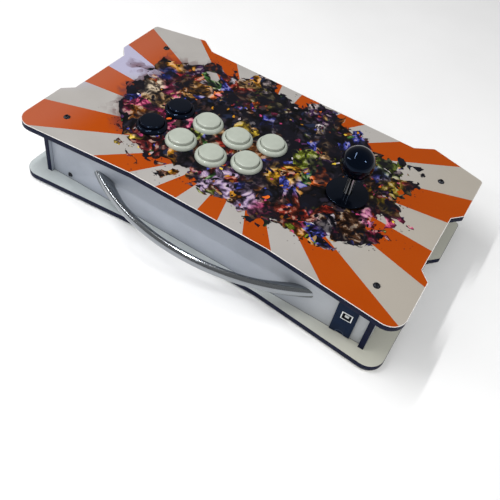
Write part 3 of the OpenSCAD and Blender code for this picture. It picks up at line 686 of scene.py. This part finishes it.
CONNECTOR = finish_of("connector_plastic", "#D9D6CB", "#EDEBE3", 0.45, 1600, 0.01 * MM)
SHEATH = finish_of("lead_sheath", "#111216", "#26272D", 0.55, 1500, 0.02 * MM)
STICK_STEEL = finish_of("stick_steel", "#7E8287", "#A6AAAE", 0.34, 1200, 0.008 * MM, (0.08, 1, 1),
                        Metallic=1.0)
STICK_PLASTIC = finish_of("stick_plastic", "#151619", "#24262B", 0.5, 1700, 0.02 * MM)
BUSH_PLASTIC = finish_of("bush_plastic", "#CFCABA", "#E2DECF", 0.42, 1500, 0.008 * MM)
# The shaft's bright streaks are painted highlights
SHAFT_STEEL = streaked_with_highlights("shaft_steel", "#0A0C10", "#D4D8DC", 0.26)
SPRING_STEEL = turned("spring_steel", "#8F9296", "#C6C9CC", 0.25)
WINDOW_LIGHT_TINT = (0.3, 0.46, 0.8, 1)         # painted bluish cast of window light in the gloss of the black mouldings
BALL_BLACK = finish_of("ball_black", "#010308", "#030610", 0.04, 900, 0.001 * MM, spread=0.015,
                       Specular_IOR_Level=0.28, Specular_Tint=WINDOW_LIGHT_TINT)
WASHER_BLACK = finish_of("washer_black", "#03050A", "#080B13", 0.14, 1200, 0.003 * MM, spread=0.03,
                         Specular_IOR_Level=0.28, Specular_Tint=WINDOW_LIGHT_TINT)
BUTTON_WHITE = finish_of("button_white", "#A2A89D", "#B0B6AB", 0.2, 1300, 0.003 * MM, spread=0.05)
BUTTON_BLACK = finish_of("button_black", "#04060D", "#080C16", 0.07, 1300, 0.003 * MM, spread=0.03,
                         Specular_IOR_Level=0.35, Specular_Tint=WINDOW_LIGHT_TINT)
SWITCH_BLACK = finish_of("switch_black", "#17181C", "#2A2C31", 0.5, 1800, 0.02 * MM)
HANDLE_METAL = brushed("handle_metal", "#84888D", "#9CA0A4", 0.15, (40, 0.08, 1), 0.001 * MM)

NODE_MATERIALS = {
    "white_board": WHITE_BOARD, "printed_film": FILM, "wall_board": SHADED_WALL_BOARD, "bare_wood": BARE_WOOD,
    "dark_screw": DARK_SCREW, "zinc_screw": ZINC, "post_metal": POST_METAL, "foot_rubber": RUBBER,
    "handle_metal": ZINC, "plate_black": PLATE_BLACK, "bezel_white": BEZEL_WHITE,
    "socket_metal": SOCKET_METAL, "tongue_plastic": TONGUE, "circuit_board": CIRCUIT,
    "connector_plastic": CONNECTOR, "lead_sheath": SHEATH, "stick_steel": STICK_STEEL,
    "stick_plastic": STICK_PLASTIC, "bush_plastic": BUSH_PLASTIC, "shaft_steel": SHAFT_STEEL,
    "spring_steel": SPRING_STEEL, "ball_black": BALL_BLACK, "washer_black": WASHER_BLACK,
    "button_white": BUTTON_WHITE, "button_black": BUTTON_BLACK, "switch_black": SWITCH_BLACK,
}


def finish_node(name, material):
    """Gives a CAD node its material and slightly rounded edges, which change no size."""
    node = frame["nodes"][name]
    for slot in node.material_slots:
        slot.material = material
    node.data.shade_smooth()
    weld = node.modifiers.new("weld", "WELD")
    weld.merge_threshold = SAME_POINT
    bevel = node.modifiers.new("bevel", "BEVEL")
    bevel.width = 0.15 * MM
    bevel.segments = 2
    bevel.limit_method = "ANGLE"
    bevel.angle_limit = math.radians(40)


for row in frame["record"]["subparts"]:
    finish_node(row["node"], NODE_MATERIALS[row["material_slot"]])

# --- Boards and walls ---

BOARD_SKINS = [WHITE_BOARD, BOARD_EDGE]
WALL_SKINS = [SHADED_WALL_BOARD, BOARD_EDGE]
BOARD_BEVEL, WALL_BEVEL, FILM_BEVEL, FILM_BORDER = 0.35 * MM, 0.3 * MM, 0.1 * MM, 0.5 * MM
# Sizes of the dark strip of painted shade at each wall's foot: how proud, how sunk, how tall, and its
# rounding
JOINT_SHADE_PROUD, JOINT_SHADE_SUNK, JOINT_SHADE_TALL, JOINT_SHADE_BEVEL = 0.06 * MM, 0.2 * MM, 0.45 * MM, 0.02 * MM

for board in ("base_board", "top_board"):
    Shape().add(slab(board, Z, BOARD_BEVEL)).piece(f"{board}_cut", "case", "white_board", BOARD_SKINS, board)
Shape().add(slab("printed_film", Z, FILM_BEVEL, FILM_BORDER)).piece(
    "film_sheet", "case", "printed_film", [FILM, FILM_EDGE], "printed_film")
BASE_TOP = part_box("base_board")[1].z
for wall, axis in (("rear_wall", Y), ("front_wall", Y), ("side_wall_left", X), ("side_wall_right", X)):
    shape = Shape().add(slab(wall, axis, WALL_BEVEL))
    # Dark strip round the foot of the wall, where it stands in the base board: painted shade of the gap at
    # the joint
    low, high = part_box(wall)
    grow = Vector((JOINT_SHADE_PROUD, JOINT_SHADE_PROUD, 0))
    shape.add(block((low - grow).xy.to_3d() + UP * (BASE_TOP - JOINT_SHADE_SUNK),
                    (high + grow).xy.to_3d() + UP * (BASE_TOP + JOINT_SHADE_TALL), JOINT_SHADE_BEVEL), skin=1)
    shape.piece(f"{wall}_cut", "case", "wall_board", WALL_SKINS, wall)

# --- Buttons ---

PANEL_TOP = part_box("printed_film")[1].z
BARREL_R, BORE_R, STEM_HOLE_R = 14.7 * MM, 13.5 * MM, 3.5 * MM
BARREL_DEPTH, BARREL_FLOOR = 18 * MM, 2 * MM
RIM_CURVE, RIM_LIP = 3.3 * MM, 0.8 * MM
WING_HALF, WING_PROUD, WING_SUNK, WING_LOW, WING_HIGH = 3 * MM, 1.4 * MM, 0.5 * MM, -13 * MM, -7.1 * MM


def button_body_shape(low, high):
    """Domed rim, barrel with snap wings and a floor, about the middle of the panel's surface."""
    rim_r = (high.x - low.x) / 2
    rim_h = high.z - PANEL_TOP
    bend = rim_r - RIM_CURVE
    crown = [(BORE_R, rim_h - RIM_LIP)] + arc(BORE_R + RIM_LIP, rim_h - RIM_LIP, RIM_LIP, 170, 95, 5)
    # The outer curve is an arc as high as the rim, squeezed to the width RIM_CURVE
    side = [(bend + (x - bend) * RIM_CURVE / rim_h, z) for x, z in arc(bend, 0, rim_h, 88, 4, 12)]
    rings = [(STEM_HOLE_R, BARREL_FLOOR - BARREL_DEPTH), (BORE_R, BARREL_FLOOR - BARREL_DEPTH)]
    rings += crown + side
    rings += [(rim_r - 0.1 * MM, 0), (BARREL_R, 0), (BARREL_R, 0.4 * MM - BARREL_DEPTH),
              (BARREL_R - 0.4 * MM, -BARREL_DEPTH), (STEM_HOLE_R, -BARREL_DEPTH), rings[0]]
    shape = Shape().add(lathe(rings))
    wing = block((BARREL_R - WING_SUNK, -WING_HALF, WING_LOW), (BARREL_R + WING_PROUD, WING_HALF, WING_HIGH))
    for turn in (0, math.pi):
        shape.add(wing, Matrix.Rotation(turn, 4, "Z"))
    return shape


def plunger_shape(low, high):
    """Hollow cap with a soft edge and a slightly raised middle, and the stem under it."""
    r, foot, top = (high.x - low.x) / 2, low.z - PANEL_TOP, high.z - PANEL_TOP
    wall, edge, rise, ceiling, skirt, stem_r = 1.6 * MM, 1.3 * MM, 0.25 * MM, 2.4 * MM, -7 * MM, 2.5 * MM
    rings = [(0, foot), (stem_r - 0.1 * MM, foot), (stem_r, foot + 0.2 * MM), (stem_r, top - ceiling),
             (r - wall, top - ceiling), (r - wall, skirt), (r - 0.2 * MM, skirt), (r, skirt + 0.2 * MM)]
    rings += arc(r - edge, top - rise - edge, edge, 0, 84, 8)
    for k in range(1, 9):
        share = 1 - k / 8
        rings.append(((r - edge) * share, top - rise * share * share))
    return Shape().add(lathe(rings))


def button_slot(i):
    """Buttons 4 and 8, at the far end of each row, are black."""
    return "button_black" if i % 4 == 0 else "button_white"


button_meshes = {}      # one mesh for each kind and finish
for i in range(1, 9):
    finish = NODE_MATERIALS[button_slot(i)]
    for kind, shape_of, body in (("button_body", button_body_shape, "case"),
                                 ("plunger", plunger_shape, f"button_{i}")):
        node = f"{kind}_{i}"
        if (kind, finish) not in button_meshes:
            button_meshes[kind, finish] = shape_of(*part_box(node)).mesh(kind, [finish])
        spot = middle(node)
        show(f"{node}_moulding", button_meshes[kind, finish], body, [node],
             (spot.x, spot.y, PANEL_TOP))

# --- Joystick top ---

BALL_LOW, BALL_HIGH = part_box("ball_top")
BALL_R = (BALL_HIGH.x - BALL_LOW.x) / 2
BALL_MIDDLE = Vector((middle("ball_top").x, middle("ball_top").y, BALL_HIGH.z - BALL_R))
BALL_HOLE_R, BALL_HOLE_DEPTH, BALL_FLAT_R = 3 * MM, 12 * MM, 6.2 * MM
STICK_AXIS = Vector((BALL_MIDDLE.x, BALL_MIDDLE.y, 0))
STEPS = 128     # round a large turned piece


def ball_shape():
    """Ball with a flat foot, and a blind hole in it for the shaft's thin end."""
    foot = BALL_LOW.z - BALL_MIDDLE.z
    hole_top = BALL_HOLE_DEPTH - BALL_R
    foot_angle = math.degrees(math.asin(foot / BALL_R))
    rings = [(0, hole_top), (BALL_HOLE_R, hole_top), (BALL_HOLE_R, foot + 0.3 * MM),
             (BALL_HOLE_R + 0.4 * MM, foot), (BALL_FLAT_R, foot)]
    rings += arc(0, 0, BALL_R, foot_angle + 3, QUARTER, 60) + [(0, BALL_R)]
    return Shape().add(lathe(rings, STEPS), stand(BALL_MIDDLE))


def shaft_shape():
    """Round shaft with a thinner threaded end that the ball is screwed on to."""
    low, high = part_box("stick_shaft")
    r, end_r, neck = (high.x - low.x) / 2, 2.95 * MM, BALL_LOW.z
    pitch, ring_step, ring_count = 0.84 * MM, 0.28 * MM, 38
    rings = [(0, low.z), (r - 0.8 * MM, low.z), (r, low.z + 0.8 * MM), (r, neck - 0.5 * MM),
             (r - 0.5 * MM, neck), (end_r, neck)]
    for k in range(ring_count):
        z = neck + 0.4 * MM + k * ring_step
        rings.append((thread(end_r, pitch, z), z))
    rings += [(2.4 * MM, high.z - 0.2 * MM), (2.2 * MM, high.z), (0, high.z)]
    return Shape().add(lathe(rings, 48), stand(STICK_AXIS))


def dust_washer_shape():
    """Dished washer over the board, thickest at its hole."""
    low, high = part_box("dust_washer")
    r, thick, hole_r, lip = (high.x - low.x) / 2, high.z - low.z, 4.7 * MM, 0.6 * MM
    rings = [(hole_r, 0.3 * MM), (5 * MM, 0), (r - 0.5 * MM, 0), (r - 0.1 * MM, 0.2 * MM)]
    rings += arc(r - lip, 1.0 * MM, lip, -10, 95, 6)
    rings += [(r * 0.86, 1.75 * MM), (r * 0.7, 2.15 * MM), (r * 0.55, 2.42 * MM), (r * 0.4, 2.6 * MM),
              (7 * MM, thick - 0.05 * MM), (5.2 * MM, thick), (hole_r, thick - 0.3 * MM), rings[0]]
    return Shape().add(lathe(rings, STEPS), stand(Vector((STICK_AXIS.x, STICK_AXIS.y, low.z))))


def slide_washer_shape():
    """Flat washer under the dished one."""
    low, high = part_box("slide_washer")
    r, thick, hole_r, edge = (high.x - low.x) / 2, high.z - low.z, 9 * MM, 0.3 * MM
    rings = [(hole_r, 0.2 * MM), (hole_r + 0.2 * MM, 0), (r - edge, 0), (r, edge), (r, thick - edge),
             (r - edge, thick), (hole_r + 0.2 * MM, thick), (hole_r, thick - 0.2 * MM)]
    rings.append(rings[0])
    return Shape().add(lathe(rings, STEPS), stand(Vector((STICK_AXIS.x, STICK_AXIS.y, low.z))))


ball_shape().piece("ball_top_polished", "lever", "ball_black", [BALL_BLACK], "ball_top")
shaft_shape().piece("stick_shaft_turned", "lever", "shaft_steel", [SHAFT_STEEL], "stick_shaft")
dust_washer_shape().piece("dust_washer_moulding", "washer_cover", "washer_black", [WASHER_BLACK],
                          "dust_washer")
slide_washer_shape().piece("slide_washer_moulding", "washer_slide", "washer_black", [WASHER_BLACK],
                           "slide_washer")

# --- Screws, feet and posts ---

SCREW_TURN = 40     # radians a metre: sockets in a row don't line up


def outward(low, high):
    """Way out of the case along the longer side of a lying screw."""
    size, centre = high - low, (low + high) / 2
    if size.x > size.y:
        return Vector((math.copysign(1, centre.x), 0, 0))
    return Vector((0, math.copysign(1, centre.y), 0))


def wall_screw_size(low, high):
    """Head's diameter and height, and the shank's, of a screw that lies in a wall."""
    head_d = high.z - low.z
    return head_d, (2 * MM if head_d > 5.6 * MM else 1.6 * MM), 3 * MM


def screw_group(name, node, slot, size, way):
    """All the screws of one node. size and way may each be a function of a screw's box."""
    shape = Shape()
    for low, high in solids(node):
        head_d, head_h, shank_d = size(low, high) if callable(size) else size
        up = way(low, high) if callable(way) else way
        span = abs((high - low).dot(up))
        seat = (low + high) / 2 + up * (span / 2 - head_h)
        shape.add(button_screw(head_d, head_h, shank_d, span - head_h), stand(seat, up, seat.x * SCREW_TURN))
    shape.piece(name, "case", slot, [NODE_MATERIALS[slot]], node)


def turned_group(name, node, slot, rings_of, steps):
    """All the turned solids of one node, each from rings that fit its radius and height."""
    shape = Shape()
    for low, high in solids(node):
        rings = rings_of((high.x - low.x) / 2, high.z - low.z)
        foot = Vector(((low.x + high.x) / 2, (low.y + high.y) / 2, low.z))
        shape.add(lathe(rings, steps), stand(foot))
    shape.piece(name, "case", slot, [NODE_MATERIALS[slot]], node)


def base_screw_rings(r, length):
    """Countersunk screw, head down, with a hexagon socket in its head."""
    shank_r, pitch, ring_step, socket_deep = 2 * MM, 0.7 * MM, 0.23 * MM, 1.3 * MM
    rings = [(0, socket_deep), (hexagon(1.2 * MM), socket_deep), (hexagon(1.3 * MM), 0.05 * MM),
             (1.7 * MM, 0), (r - 0.1 * MM, 0), (r, 0.15 * MM), (shank_r, 2.1 * MM), (shank_r, 3 * MM)]
    for k in range(int((length - 4 * MM) / ring_step)):
        z = 3.2 * MM + k * ring_step
        rings.append((thread(shank_r, pitch, z), z))
    return rings + [(1.6 * MM, length - 0.4 * MM), (1.3 * MM, length), (0, length)]


def foot_rings(r, h):
    """Rubber foot with a sunk screw hole and a groove in its tread."""
    hole_r, sunk_r, sunk, round_r = 1.6 * MM, 3.5 * MM, 1.4 * MM, 0.4 * MM
    rings = [(hole_r, h), (hole_r, sunk), (sunk_r, sunk), (sunk_r, 0.2 * MM), (3.7 * MM, 0),
             (5 * MM, 0), (5.1 * MM, 0.15 * MM), (5.5 * MM, 0.15 * MM), (5.6 * MM, 0), (r - 1.9 * MM, 0)]
    rings += arc(r - 1.9 * MM, round_r, round_r, -90, -20, 4)
    rings += [(r - 0.15 * MM, h - 0.4 * MM), (r - 0.1 * MM, h - 0.1 * MM), (r - 0.3 * MM, h), (hole_r, h)]
    return rings


def post_rings(r, h):
    """Round post with chamfered ends and a bore along it."""
    bore_r, chamfer = 2.1 * MM, 0.5 * MM
    return [(bore_r, 0), (r - chamfer, 0), (r, chamfer), (r, h - chamfer), (r - chamfer, h), (bore_r, h),
            (bore_r, 0)]


PANEL_HEAD = (7.6 * MM, 2.2 * MM, 4 * MM)   # head's diameter and height, shank's diameter
screw_group("panel_screw_set", "panel_screws", "dark_screw", PANEL_HEAD, UP)
screw_group("wall_screw_set", "wall_screws", "dark_screw", wall_screw_size, outward)
screw_group("encoder_screw_set", "encoder_screws", "zinc_screw", (5.4 * MM, 1.8 * MM, 3 * MM), UP)
screw_group("handle_screw_set", "handle_screws", "dark_screw", PANEL_HEAD, Vector((0, -1, 0)))
screw_group("stick_mount_screw_set", "stick_mount_screws", "zinc_screw", (6 * MM, 2 * MM, 3 * MM), DOWN)
screw_group("stick_case_screw_set", "stick_case_screws", "zinc_screw", (5.6 * MM, 2 * MM, 3 * MM), DOWN)
turned_group("base_screw_set", "base_screws", "dark_screw", base_screw_rings, 36)
turned_group("rubber_foot_set", "rubber_feet", "foot_rubber", foot_rings, 64)
turned_group("corner_post_set", "corner_posts", "post_metal", post_rings, 48)

# --- Handle ---

HANDLE_LOW, HANDLE_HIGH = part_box("carry_handle")
BAR_T, BAR_H = 9 * MM, HANDLE_HIGH.z - HANDLE_LOW.z
BOW_SPAN, BOW_RISE = 256 * MM, HANDLE_HIGH.y - HANDLE_LOW.y - BAR_T / 2
BOW_R = (BOW_SPAN ** 2 / 4 + BOW_RISE ** 2) / (2 * BOW_RISE)
BOW_CENTRE = Vector((0, HANDLE_LOW.y + BOW_RISE - BOW_R, (HANDLE_LOW.z + HANDLE_HIGH.z) / 2))
REAR_FACE = HANDLE_LOW.y
FULLER_FROM = 0.45      # share of each half of the bow, at its foot, over which the bar grows
MIDDLE_LOWER, FOOT_FULLER = 0.1, 0.9
BAR_RINGS, BAR_STEPS = 160, 48
STREAK_UNIT = 10 * MM   # length of the bar that is 1 on its map


def handle_point(share, t):
    """Point of the bar at a share of the bow, -1 to 1, and an angle round the bar, with its map."""
    near = min(1.0, (1 - abs(share)) / FULLER_FROM)
    ease = near * near * (3 - 2 * near)
    tall = BAR_H / 2 * (1.0 - MIDDLE_LOWER * ease)
    inner = 1.0 + FOOT_FULLER * (1 - ease)
    radius = BOW_R + math.cos(t) * BAR_T / 2 * (inner if math.cos(t) < 0 else 1.0)
    a = share * math.acos((REAR_FACE - BOW_CENTRE.y) / radius)
    out = Vector((math.sin(a), math.cos(a), 0))
    return BOW_CENTRE + out * radius + UP * math.sin(t) * tall, a * BOW_R / STREAK_UNIT


def handle_mesh():
    """Oval bar bent to an arc, fuller on its inner side near its feet, which end flush on the wall."""
    points, maps, faces = [], [], []
    for k in range(BAR_RINGS + 1):
        for m in range(BAR_STEPS):
            point, along = handle_point(2 * k / BAR_RINGS - 1, 2 * math.pi * m / BAR_STEPS)
            points.append(point)
            maps.append((m / BAR_STEPS, along))
    for k in range(BAR_RINGS):
        for m in range(BAR_STEPS):
            a, b = k * BAR_STEPS + m, k * BAR_STEPS + (m + 1) % BAR_STEPS
            faces.append((a, b, b + BAR_STEPS, a + BAR_STEPS))
    faces.append(tuple(range(BAR_STEPS))[::-1])
    faces.append(tuple(BAR_RINGS * BAR_STEPS + m for m in range(BAR_STEPS)))
    mesh = bpy.data.meshes.new("carry_handle_bar")
    mesh.from_pydata(points, [], faces)
    layer = mesh.uv_layers.new(name="UVMap")
    for polygon in mesh.polygons:
        wraps = max(maps[i][0] for i in polygon.vertices) > 0.9
        for loop in polygon.loop_indices:
            u, v = maps[mesh.loops[loop].vertex_index]
            layer.data[loop].uv = (u + 1 if wraps and u < 0.1 else u, v)
    mesh.shade_smooth()
    mesh.set_sharp_from_angle(angle=SMOOTH_ANGLE)
    mesh.materials.append(HANDLE_METAL)
    return mesh


show("carry_handle_bar", handle_mesh(), "case", ["carry_handle"])

# --- Studio ---

AIM = Vector((-0.069, 0.1222, 0.0794))      # what the camera and the lamps look at
FLOOR_HALF = 12.0       # so wide that its edge lies at the horizon
WORLD_LIGHT = 0.28
WHITE = (1.0, 1.0, 1.0, 1)

# Lamps: name, place, power in watts, width and length, way the length lies, and if it shows in gloss
LAMPS = [
    ("key", (0.85, 0.75, 1.25), 6.6, (1.2, 1.2), (1, 0, 0), False),
    ("window_strip", (0.31, 0.17, 1.0), 5.2, (0.035, 0.75), (0, 1, 0), True),
    ("lamp_low", (1.07, 0.51, 0.59), 2.6, (0.05, 0.66), (-0.36, 0.42, 0.35), True),
    ("lamp_side", (-0.84, 0.1, 0.8), 1.8, (0.08, 0.2), (0.6, 0.3, 1), True),
]
FILL_STRENGTH, FILL_SPREAD, FILL_WAY = 0.85, math.radians(70), Vector((0.25, -0.6, -0.75))

# Camera: above and behind the panel, at the joystick's end, with a slight roll
DISTANCE, AZIMUTH, ELEVATION, ROLL = 0.5969, math.radians(202.16), math.radians(48.93), math.radians(12.17)
LENS, SENSOR, NEAREST = 45.82, 36, 0.02

scene = bpy.context.scene
scene.view_settings.view_transform = "Standard"


def placed(name, data):
    """A new object in the scene that isn't part of the panel."""
    made = bpy.data.objects.new(name, data)
    scene.collection.objects.link(made)
    return made


def studio_floor():
    """Plain pale floor, nearly white."""
    g = Graph("studio_floor")
    tone = g.ramp(g.noise(6, 3.0), [(0.3, "#F6F6F6"), (0.7, "#FAFAFA")])
    material = g.finish(tone, g.span(g.noise(40, 2.0), 0.3, 0.7, 0.75, 0.85))
    mesh = bpy.data.meshes.new("studio_floor")
    corners = [(x * FLOOR_HALF, y * FLOOR_HALF, 0) for x, y in ((-1, -1), (1, -1), (1, 1), (-1, 1))]
    mesh.from_pydata(corners, [], [(0, 1, 2, 3)])
    mesh.materials.append(material)
    placed("studio_floor", mesh)


def area_lamp(name, place, power, size, along, glossy):
    """Lamp that faces the panel, with its length lying along a direction."""
    data = bpy.data.lights.new(name, "AREA")
    data.energy = power
    data.shape = "RECTANGLE"
    data.size, data.size_y = size
    away = (Vector(place) - AIM).normalized()
    side = (Vector(along) - Vector(along).dot(away) * away).normalized()
    turn = Matrix((side.cross(away), side, away)).transposed()
    lamp = placed(name, data)
    lamp.matrix_world = Matrix.Translation(place) @ turn.to_4x4()
    lamp.visible_glossy = glossy


def fill_light():
    """Broad weak sun from behind the panel, high up."""
    fill = placed("fill", bpy.data.lights.new("fill", "SUN"))
    fill.data.energy = FILL_STRENGTH
    fill.data.angle = FILL_SPREAD
    fill.rotation_mode = "QUATERNION"
    fill.rotation_quaternion = FILL_WAY.to_track_quat("-Z", "Y")
    fill.visible_glossy = False


def studio_world():
    """Even white light from all round."""
    world = bpy.data.worlds.new("studio")
    scene.world = world
    world.use_nodes = True
    background = world.node_tree.nodes["Background"]
    background.inputs["Color"].default_value = WHITE
    background.inputs["Strength"].default_value = WORLD_LIGHT


def studio_camera():
    """Camera at its distance and angles from the point that it looks at."""
    camera = placed("camera", bpy.data.cameras.new("camera"))
    camera.data.lens = LENS
    camera.data.sensor_width = SENSOR
    camera.data.clip_start = NEAREST
    back = Vector((math.sin(AZIMUTH) * math.cos(ELEVATION), -math.cos(AZIMUTH) * math.cos(ELEVATION),
                   math.sin(ELEVATION)))
    camera.location = AIM + back * DISTANCE
    camera.rotation_mode = "QUATERNION"
    roll = Matrix.Rotation(ROLL, 3, "Z").to_quaternion()
    camera.rotation_quaternion = (-back).to_track_quat("-Z", "Y") @ roll
    scene.camera = camera


studio_floor()
studio_world()
for lamp in LAMPS:
    area_lamp(*lamp)
fill_light()
studio_camera()
